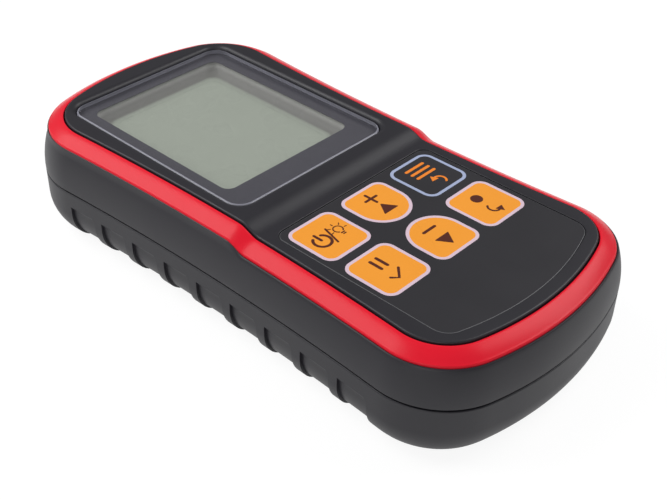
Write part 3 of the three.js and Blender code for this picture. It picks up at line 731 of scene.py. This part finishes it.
def front_shell():
    """Side wall, channel for the trim and stepped face, with openings for the display and the keys."""
    channel = -TRIM_WIDTH - CHANNEL_GAP
    channel_floor = trim_high.z - TRIM_THICK - FIT
    edge_out = quarter((BULGE - EDGE, parting_z), (BULGE, parting_z + EDGE), 3, True)
    levels = [
        level(-FACE_INSET, CEILING),
        level(-FACE_INSET, CEILING - 1.6 * MM),
        level(BULGE - WALL, parting_z + REBATE_HEIGHT + 0.7 * MM),
        level(rebate, parting_z + REBATE_HEIGHT),
        level(rebate, parting_z),
        level(BULGE - EDGE, parting_z),
        *[level(*point) for point in edge_out],
        *[wall_level(step / 12) for step in range(1, 13)],
        lambda y: (wall_outset(wall_top + step_at(y)) - 0.08 * MM, wall_top + step_at(y) - 0.09 * MM),
        lambda y: (wall_outset(wall_top + step_at(y)) - TOP_EDGE, wall_top + step_at(y)),
        level(TRIM_GAP, wall_top - 0.05 * MM, True),
        level(TRIM_GAP, wall_top - 1.0 * MM, True),
        level(-1.0 * MM, wall_top - 1.1 * MM, True),
        level(channel, channel_floor, True),
        level(channel, face_z - FACE_EDGE, True),
        *[level(*point, True) for point in quarter(
            (channel, face_z - FACE_EDGE), (channel - FACE_EDGE, face_z), 4, False)],
        level(channel - 1.5 * MM, face_z, True),
    ]
    shell = loft("front_shell", levels)
    lens_centre, lens_half = footprint(lens_low, lens_high, LENS_GAP)
    recess = plate("recess", lens_centre, lens_half, (LENS_CORNER, LENS_CORNER), lens_low.z - FIT,
                   lens_high.z - 0.3 * MM)
    rim = quarter((0.1 * MM, lens_high.z - 0.25 * MM), (LENS_RIM, face_z), 7, False)
    flare(recess, [*rim, (LENS_RIM, face_z + 2 * MM)])
    frame_low, frame_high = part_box("display_frame")
    grow = Vector((FIT, FIT, 0))
    opening = block("opening", frame_low - grow, frame_high + grow + Vector((0, 0, 3 * MM)))
    pad = pad_shape("pad_recess", FIT, sheet_low.z - FIT, keypad_z - PAD_EDGE)
    pad_rim = quarter((0, keypad_z - PAD_EDGE), (TOP_EDGE, keypad_z), 3, False)
    flare(pad, [*pad_rim, (TOP_EDGE, keypad_z + MM)])
    holes = fuse([key_plate(key, FIT, 20 * MM, keypad_z + 2 * MM) for key in KEYS])
    carve(shell, recess, opening, pad, holes, lead_mouth())
    return dress(shell, "body", "case_plastic", case_plastic, replaces=["front_case"])


def key_top(key):
    """Centre and half size of a key's cap, inside its hidden flange."""
    low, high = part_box(key)
    return *footprint(low, high, -KEY_FLANGE), high.z


def key_plate(key, grow, low, high):
    """A key's outline between two heights. The middle keys are round towards the other row."""
    centre, half, _ = key_top(key)
    size = (half[0] + grow, half[1] + grow)
    square, full = KEY_CORNER + grow, min(size) - 0.01 * MM
    radii = {"up_key": (full, square), "down_key": (square, full)}.get(key, (square, square))
    return plate(key + "_plate", centre, size, radii, low, high, segments=16)


def pad_shape(name, grow, low, high):
    """The keypad sheet's outline: straight towards the display, an arc at the other end."""
    top = sheet_high.y + grow
    half = sheet_high.x + grow
    end = Vector((0, BOTTOM_END_RADIUS - END_REACH))
    radius = BOTTOM_END_RADIUS - PAD_FROM_END + grow
    upper, lower = PAD_TOP_CORNER + grow, PAD_BOTTOM_CORNER + grow
    reach = half - lower
    lower_centre = end + Vector((reach, -math.sqrt((radius - lower) ** 2 - reach**2)))
    touch = bearing(end, lower_centre)
    points = [point for point, _ in (
        *arc(Vector((half - upper, top - upper)), upper, math.pi / 2, 0, 10),
        *arc(lower_centre, lower, 0, touch, 12),
        *arc(end, radius, touch, -math.pi / 2, 24))]
    points += [Vector((0, end.y - radius))] + [Vector((-p.x, p.y)) for p in reversed(points)]
    return prism(name, points, low, high)


def rounding(wall_at, width, height, bottom, steps):
    """Levels of a quarter ellipse from a flat bottom up to a wall."""
    return [(wall_at - width, bottom), *quarter((wall_at - width, bottom), (wall_at, bottom + height), steps, True)]


def rear_shell():
    """The tub that is held in the hand, with finger grips, battery bay and screw holes."""
    top = parting_z - PARTING_GAP
    inside = BULGE - WALL
    lip_outer = rebate - FIT
    inner = rounding(inside, ROUNDING_WIDTH - WALL, ROUNDING_HEIGHT - FLOOR, FLOOR, 5)
    levels = [
        level(BULGE - ROUNDING_WIDTH - 3 * MM, 0),
        *[level(*point) for point in rounding(BULGE, ROUNDING_WIDTH, ROUNDING_HEIGHT, 0, 12)],
        level(BULGE, top - EDGE),
        *[level(*point) for point in quarter((BULGE, top - EDGE), (BULGE - EDGE, top), 3, False)],
        level(lip_outer, top),
        level(lip_outer, top + 2.1 * MM),
        level(lip_outer - LIP, top + 2.1 * MM),
        level(lip_outer - LIP, top - 2 * MM),
        level(inside, top - 3 * MM),
        *[level(*point) for point in reversed(inner)],
    ]
    shell = loft("rear_shell", levels)
    bay_low = Vector((door_low.x + BAY_LEDGE, door_low.y + BAY_LEDGE, -MM))
    bay_high = Vector((door_high.x - BAY_LEDGE, door_high.y - BAY_LEDGE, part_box("cell_3")[1].z + FIT))
    wall = Vector((BAY_WALL, BAY_WALL, BAY_WALL))
    tub = block("tub", Vector((bay_low.x, bay_low.y, FLOOR)) - wall, bay_high + wall)
    frame_width = BAY_WALL + FIT
    seat = block("seat", (door_low.x - frame_width, door_low.y - frame_width, MM),
                 (door_high.x + frame_width, door_high.y + frame_width, door_high.z + FIT + DOOR_RIM))
    screws = [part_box(f"case_screw_{i}") for i in range(1, 5)]
    centres = [(low + high) / 2 for low, high in screws]
    hole_radius = (screws[0][1].x - screws[0][0].x) / 2 + FIT
    hole_end = screws[0][0].z + HEAD_DEPTH
    posts = fuse([rod("post", POST_RADIUS, (c.x, c.y, MM), (c.x, c.y, top)) for c in centres])
    unite(shell, tub, seat, posts)
    head_holes = fuse([rod("hole", hole_radius, (c.x, c.y, -MM), (c.x, c.y, hole_end)) for c in centres])
    mouths = fuse([cone_mouth(hole_radius, c) for c in centres])
    shanks = fuse([rod("shank", SHANK_RADIUS, (c.x, c.y, MM), (c.x, c.y, top + MM)) for c in centres])
    bay = block("bay", bay_low, bay_high)
    seat_corners = (DOOR_CORNER + FIT, DOOR_CORNER + FIT)
    door_seat = plate("door_seat", *footprint(door_low, door_high, FIT), seat_corners,
                      -MM, door_high.z + FIT)
    carve(shell, head_holes, mouths, shanks, bay, door_seat, thumb_recess(), lead_mouth(), *grip_pockets(top))
    return dress(shell, "body", "case_plastic", case_plastic, replaces=["rear_case"])


def cone_mouth(radius, centre):
    """A shallow countersink that breaks the sharp rim of a hole in the underside."""
    piece = basic("cone", "countersink", vertices=48, radius1=radius + 0.8 * MM, radius2=radius - 0.4 * MM,
                  depth=1.2 * MM, location=(centre.x, centre.y, 0.2 * MM))
    settle(piece)
    return piece


def thumb_recess():
    """A shallow dish beside the door, for a thumb nail."""
    radius = 14 * MM
    depth = 0.9 * MM
    piece = basic("uv_sphere", "dish", segments=64, ring_count=48, radius=radius,
                  location=(0, door_high.y + 2.6 * MM, depth - radius))
    settle(piece)
    return piece


GRIP_COUNT = 9
GRIP_PITCH = 11.2 * MM
GRIP_FIRST = 48.5 * MM
GRIP_LENGTH = 8.6 * MM
GRIP_TOP = 11.4 * MM
GRIP_DEPTH = 0.65 * MM
GRIP_CORNER = 2.2 * MM
GRIP_FADE = 1.5 * MM


def grip_pockets(top):
    """Finger pockets: deep and sharp towards the display, open at the underside, fading out upwards."""
    pockets = []
    for index in range(GRIP_COUNT):
        y = GRIP_FIRST - index * GRIP_PITCH
        for side in (-1, 1):
            near_x, far_x = sorted((side * 27 * MM, side * 45 * MM))
            pocket = block("pocket", (near_x, y - GRIP_LENGTH, -5 * MM), (far_x, y, GRIP_TOP + 0.4 * MM))
            edit(pocket)
            select(pocket, "EDGE", lambda e: all(
                v.co.z > 5 * MM and v.co.y < y - GRIP_LENGTH / 2 for v in e.verts))
            bpy.ops.mesh.bevel(offset=GRIP_CORNER, segments=8, affect="EDGES")
            leave()
            pockets.append(pocket)
    wall_at = BULGE - GRIP_DEPTH
    core_levels = rounding(wall_at, ROUNDING_WIDTH + 0.5 * MM, ROUNDING_HEIGHT + 0.8 * MM, -0.3 * MM, 14)
    outside = BULGE + 0.1 * MM
    core_levels += quarter((wall_at, GRIP_TOP - GRIP_FADE), (outside, GRIP_TOP), 6, False)
    core = loft("core", [level(*point) for point in core_levels] + [level(outside, top)])
    for pocket in pockets:
        modify(pocket, "BOOLEAN", object=core, operation="DIFFERENCE", solver="EXACT")
    bpy.data.objects.remove(core, do_unlink=True)
    return pockets


def trim_band():
    """The coloured band: bowed, rolled down at its outer edge, stepping with the face."""
    inner, crown, edge = -TRIM_WIDTH, trim_high.z - 0.1 * MM, trim_high.z - TRIM_FALL
    bow = []
    for step in range(13):
        share = step / 12
        bow.append((inner + 0.12 * MM + (TRIM_WIDTH - 0.42 * MM) * share, crown - 1.85 * MM * share**1.4))
    points = [
        (inner, trim_high.z - TRIM_THICK),
        (inner, crown - 0.15 * MM),
        (inner + 0.04 * MM, crown - 0.04 * MM),
        *bow,
        *quarter(bow[-1], (0.0, edge - 0.35 * MM), 5, True),
        (0.0, edge - 1.0 * MM),
        (-1.2 * MM, edge - 1.0 * MM),
    ]
    band = loft("trim_ring", [level(*point, True) for point in points], closed=True)
    return dress(band, "body", "trim_red", trim_plastic, replaces=["trim_band"], angle=50)


def lens_pieces():
    """The clear window with a polished edge, whose glint is painted on as a pale colour, and the dark border
    printed on its underside.
    """
    centre, half = footprint(lens_low, lens_high)
    window = plate("clear_window", centre, half, (LENS_CORNER, LENS_CORNER), lens_low.z, lens_high.z, 16)
    soften(window, lens_high.z, 0.5 * MM, 3)
    # the rounded edge faces take the painted highlight, the flat faces the clear finish
    for polygon in window.data.polygons:
        polygon.material_index = 1 if abs(polygon.normal.z) < 0.999 else 0
    dress(window, "body", "clear_lens", clear_lens, lens_edge_painted_glint, replaces=["display_lens"])
    high = lens_low.z - 0.04 * MM
    low = high - BORDER_THICK
    border = plate("window_border", centre, half, (LENS_CORNER, LENS_CORNER), low, high, 16)
    view = plate("view", (0, centre[1] + WINDOW_OFFSET), WINDOW_HALF, (WINDOW_CORNER, WINDOW_CORNER),
                 low - MM, high + MM)
    carve(border, view)
    dress(border, "body", "case_plastic", border_print)


def display_tray():
    """The frame around the display, running down from its wall to the glass in a smooth sweep."""
    low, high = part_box("display_frame")
    glass_low, glass_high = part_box("display_glass")
    centre, _ = footprint(low, high)
    tray = block("display_tray", low, high)
    foot = glass_high.z + 0.04 * MM
    rise = (high.z - glass_high.z) * 0.85
    hollow = plate("hollow", centre, VIEW_HALF, (VIEW_CORNER, VIEW_CORNER), low.z - MM, foot, 16)
    shares = [step / 10 for step in range(1, 11)]
    sweep = [(SHELF * share**0.8, foot + rise * share**2.0) for share in shares]
    flare(hollow, [*sweep, (SHELF + 0.05 * MM, high.z + MM)])
    grow = Vector((FIT, FIT, FIT))
    bed = block("bed", Vector((glass_low.x, glass_low.y, low.z - MM)) - grow,
                (glass_high.x + FIT, glass_high.y + FIT, glass_high.z + 0.02 * MM))
    carve(tray, hollow, bed)
    # its finish paints shadow on the shelf and light on the wall
    return dress(tray, "body", "frame_grey", frame_painted_shade, replaces=["display_frame"], angle=60)


def keypad_sheet():
    """The charcoal sheet around the keys; the rounded edge of its film is painted lighter as the highlight it
    catches.
    """
    sheet = pad_shape("printed_sheet", SHEET_GROWTH, sheet_low.z, sheet_high.z)
    soften(sheet, sheet_high.z, PAD_EDGE, 2)
    # the rounded edge faces take the painted highlight, the flat faces the charcoal film
    for polygon in sheet.data.polygons:
        polygon.material_index = 1 if 0.02 < abs(polygon.normal.z) < 0.98 else 0
    holes = fuse([key_plate(key, KEY_GAP, sheet_low.z - MM, sheet_high.z + MM) for key in KEYS])
    carve(sheet, holes)
    return dress(sheet, "body", "pad_charcoal", pad_film, film_edge_painted_highlight, replaces=["keypad_sheet"])


def key_slot(key):
    return "key_dark" if key == DARK_KEY else "key_orange"


def key_cap(key):
    """A key with its printed rim and field; a flange and plunger underneath hold and press."""
    centre, _, top = key_top(key)
    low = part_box(key)[0].z
    cap = key_plate(key, 0.0, low + 0.4 * MM, top)
    cap.name = key + "_cap"
    flange = key_plate(key, KEY_FLANGE, low + 0.4 * MM, low + 1.3 * MM)
    plunger = rod("plunger", 1.8 * MM, (centre[0], centre[1], low), (centre[0], centre[1], low + MM), 32)
    unite(cap, flange, plunger)
    edit(cap)
    select(cap, "FACE", lambda f: f.normal.z > 0.9 and f.calc_center_median().z > top - 0.01 * MM)
    bpy.ops.mesh.inset(thickness=0.05 * MM, depth=0)
    bpy.ops.mesh.inset(thickness=RIM_WIDTH, depth=0)
    mesh = bmesh.from_edit_mesh(cap.data)
    for face in mesh.faces:
        face.material_index = 0 if face.select else 1
    bmesh.update_edit_mesh(cap.data)
    leave()
    films = (pad_film, blue_rim) if key == DARK_KEY else (orange_film, pale_rim)
    return dress(cap, key.replace("key", "button"), key_slot(key), *films, replaces=[key])


# ---- printed symbols ----

def stroke(points, width, z):
    """A flat printed line of even width along points, with rounded ends."""
    path = [Vector(point) for point in points]
    mesh = bmesh.new()
    left, right = [], []
    for i, point in enumerate(path):
        ahead, behind = path[min(i + 1, len(path) - 1)], path[max(i - 1, 0)]
        along = (ahead - behind).normalized()
        side = Vector((-along.y, along.x)) * width / 2
        left.append(point + side)
        right.append(point - side)
    ends = []
    for tip, inner in ((path[-1], path[-2]), (path[0], path[1])):
        out = math.atan2(tip.y - inner.y, tip.x - inner.x)
        turns = [out + math.pi / 2 - math.pi * step / 6 for step in range(1, 6)]
        ends.append([tip + Vector((math.cos(turn), math.sin(turn))) * width / 2 for turn in turns])
    loop = left + ends[0] + right[::-1] + ends[1]
    mesh.faces.new([mesh.verts.new((point.x, point.y, z)) for point in loop])
    return as_piece("stroke", mesh)


def curve_points(centre, radius, start, stop, count=24):
    turns = [math.radians(start + (stop - start) * step / count) for step in range(count + 1)]
    return [(centre[0] + radius * math.cos(turn), centre[1] + radius * math.sin(turn)) for turn in turns]


def triangle(centre, radius, turn, z, squeeze=1.0):
    """A filled triangle that points where turn says, in degrees from +X."""
    piece = basic("circle", "triangle", vertices=3, radius=radius, fill_type="NGON",
                  location=(centre[0], centre[1], z))
    piece.scale = (squeeze, 1, 1)
    piece.rotation_euler = (0, 0, math.radians(turn - 90))
    settle(piece)
    edit(piece)
    select(piece, "VERT", lambda v: True)
    bpy.ops.mesh.bevel(offset=radius * 0.12, segments=3, affect="VERTICES")
    leave()
    return piece


def disc(centre, radius, z):
    piece = basic("circle", "disc", vertices=32, radius=radius, fill_type="NGON",
                  location=(centre[0], centre[1], z))
    settle(piece)
    return piece


def around(centre, *points):
    return [(centre[0] + x * MM, centre[1] + y * MM) for x, y in points]


def power_symbol(c, z):
    line = 0.7 * MM
    ring_at = around(c, (-2.5, -0.2))[0]
    bulb = around(c, (3.1, 0.4))[0]
    rays = [stroke([(bulb[0] + 1.7 * MM * math.cos(t), bulb[1] + 1.7 * MM * math.sin(t)),
                    (bulb[0] + 2.3 * MM * math.cos(t), bulb[1] + 2.3 * MM * math.sin(t))], 0.22 * MM, z)
            for t in (math.radians(angle) for angle in (-10, 40, 90, 140, 190))]
    return [
        stroke(curve_points(ring_at, 2.1 * MM, 125, 415), line, z),
        stroke(around(ring_at, (0, 0.3), (0, 2.6)), line, z),
        stroke(around(c, (-0.3, -2.8), (1.1, 2.4)), 0.5 * MM, z),
        stroke(curve_points(bulb, 1.15 * MM, -60, 240), 0.3 * MM, z),
        stroke(around(bulb, (-0.45, -1.5), (0.45, -1.5)), 0.35 * MM, z),
        stroke(around(bulb, (-0.35, -2.05), (0.35, -2.05)), 0.3 * MM, z),
        *rays,
    ]


def up_symbol(c, z):
    return [
        triangle(around(c, (0, -2.1))[0], 2.35 * MM, 90, z, 1.15),
        stroke(around(c, (-1.8, 3.0), (1.8, 3.0)), 0.7 * MM, z),
        stroke(around(c, (0, 1.2), (0, 4.8)), 0.7 * MM, z),
    ]


def down_symbol(c, z):
    return [
        triangle(around(c, (0, -2.0))[0], 2.35 * MM, -90, z, 1.15),
        stroke(around(c, (-1.9, 2.6), (1.9, 2.6)), 0.75 * MM, z),
    ]


def turn_back_arrow(centre, radius, start, stop, line, z):
    points = curve_points(centre, radius, start, stop)
    head = math.degrees(math.atan2(points[0][1] - points[1][1], points[0][0] - points[1][0]))
    return [stroke(points, line, z), triangle(points[0], 1.25 * MM, head, z)]


def mode_symbol(c, z):
    bars = [stroke(around(c, (-3.0, y), (3.0, y)), 0.8 * MM, z) for y in (0.6, 2.4, 4.2)]
    return bars + turn_back_arrow(around(c, (0.4, -3.3))[0], 1.5 * MM, 120, -60, 0.55 * MM, z)


def record_symbol(c, z):
    return [
        disc(around(c, (0, 2.4))[0], 1.5 * MM, z),
        *turn_back_arrow(around(c, (0.2, -2.4))[0], 1.5 * MM, -60, -240, 0.5 * MM, z),
    ]


def hold_symbol(c, z):
    return [
        stroke(around(c, (-0.95, 0.9), (-0.95, 4.1)), 0.8 * MM, z),
        stroke(around(c, (0.95, 0.9), (0.95, 4.1)), 0.8 * MM, z),
        stroke(around(c, (-1.9, -2.4), (-0.6, -3.7), (1.9, -1.3)), 0.6 * MM, z),
    ]


SYMBOLS = {
    "power_key": power_symbol, "up_key": up_symbol, "mode_key": mode_symbol,
    "hold_key": hold_symbol, "down_key": down_symbol, "record_key": record_symbol,
}


def print_symbol(key):
    """A key's raised print. Each stroke lies a hair above the last, so that none share a surface."""
    centre, _, top = key_top(key)
    strokes = SYMBOLS[key](centre, top + 0.004 * MM)
    for index, piece in enumerate(strokes):
        piece.location.z += index * 0.002 * MM
        settle(piece)
    mark = fuse(strokes)
    mark.name = key.replace("key", "symbol")
    thicken(mark, PRINT)
    dress(mark, key.replace("key", "button"), key_slot(key), orange_print if key == DARK_KEY else brown_print)


# ---- door, socket and cells ----

def battery_door():
    """The lift-off door, with grip grooves and a generic arrow on its outside."""
    door = plate("door_panel", *footprint(door_low, door_high), (DOOR_CORNER, DOOR_CORNER),
                 door_low.z, door_high.z)
    soften(door, door_low.z, 0.35 * MM)
    groove_ys = [door_high.y - (5 + 2.4 * i) * MM for i in range(4)]
    grooves = [
        rod("groove", 0.7 * MM, (-7 * MM, y, -0.2 * MM), (7 * MM, y, -0.2 * MM), 24) for y in groove_ys]
    arrow = thicken(triangle((0, door_high.y - 19 * MM), 3.2 * MM, 90, -MM, 1.2), 1.4 * MM)
    carve(door, fuse(grooves), arrow)
    return dress(door, "door", "case_plastic", case_plastic, replaces=["battery_door"])


def sensor_socket():
    """The black socket for the sensor's lead, with its square body inside the case."""
    low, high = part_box("sensor_socket")
    z = (low.z + high.z) / 2
    radius = (high.z - low.z) / 2
    half = 2.6 * MM
    body_end = high.y - 5.5 * MM
    socket = rod("lead_socket", radius, (0, body_end, z), (0, high.y, z), 64)
    body = block("body", (-half, low.y, z - half), (half, body_end + 0.5 * MM, z + half))
    bore = rod("bore", 1.8 * MM, (0, high.y - 13 * MM, z), (0, high.y + MM, z), 48)
    unite(socket, body)
    carve(socket, bore)
    return dress(socket, "body", "socket_black", socket_plastic, replaces=["sensor_socket"])


def battery_cell(number):
    """A cell with a plain sleeve, steel ends and a contact nub."""
    low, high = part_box(f"cell_{number}")
    centre = (low + high) / 2
    radius = (high.x - low.x) / 2
    towards = 1 if number % 2 else -1
    start = low.y if towards > 0 else high.y
    length = high.y - low.y

    def stretch(name, width, first, last):
        return rod(name, width, (centre.x, start + towards * first, centre.z),
                   (centre.x, start + towards * last, centre.z))

    can = stretch("can", radius, 0.2 * MM, length - 1.1 * MM)
    base = stretch("base", radius - 0.7 * MM, 0, MM)
    neck = stretch("neck", radius - 0.6 * MM, length - 2 * MM, length - 0.8 * MM)
    nub = stretch("nub", 1.9 * MM, length - 2 * MM, length)
    unite(can, base, neck, nub)
    can.name = f"battery_cell_{number}"
    edit(can)
    select(can, "EDGE", lambda e: len(e.link_faces) == 2 and e.calc_face_angle() > 1.2
           and (Vector((e.verts[0].co.x - centre.x, e.verts[0].co.z - centre.z)).length > radius - 0.05 * MM))
    bpy.ops.mesh.bevel(offset=0.3 * MM, segments=3, affect="EDGES")
    leave()
    for polygon in can.data.polygons:
        middle = polygon.center
        away = math.hypot(middle.x - centre.x, middle.z - centre.z)
        polygon.material_index = 0 if away > radius - 0.5 * MM else 1
    return dress(can, "body", "cell_wrap", cell_sleeve, plated_steel, replaces=[f"cell_{number}"])


# ---- build ----

front_shell()
rear_shell()
trim_band()
lens_pieces()
display_tray()
keypad_sheet()
for key in KEYS:
    key_cap(key)
    print_symbol(key)
battery_door()
sensor_socket()
for number in (1, 2, 3):
    battery_cell(number)

KEPT_FINISHES = {
    "display_glass": display_film, "backlight_panel": diffuser,
    "zebra_strip": strip_rubber, "main_board": solder_mask, "controller_chip": chip_plastic,
}
for name, node in nodes.items():
    if any(word in name for word in ("switch", "contact", "screw")):
        KEPT_FINISHES[name] = plated_steel
for name, material in KEPT_FINISHES.items():
    node = nodes[name]
    node.data.materials.clear()
    node.data.materials.append(material)
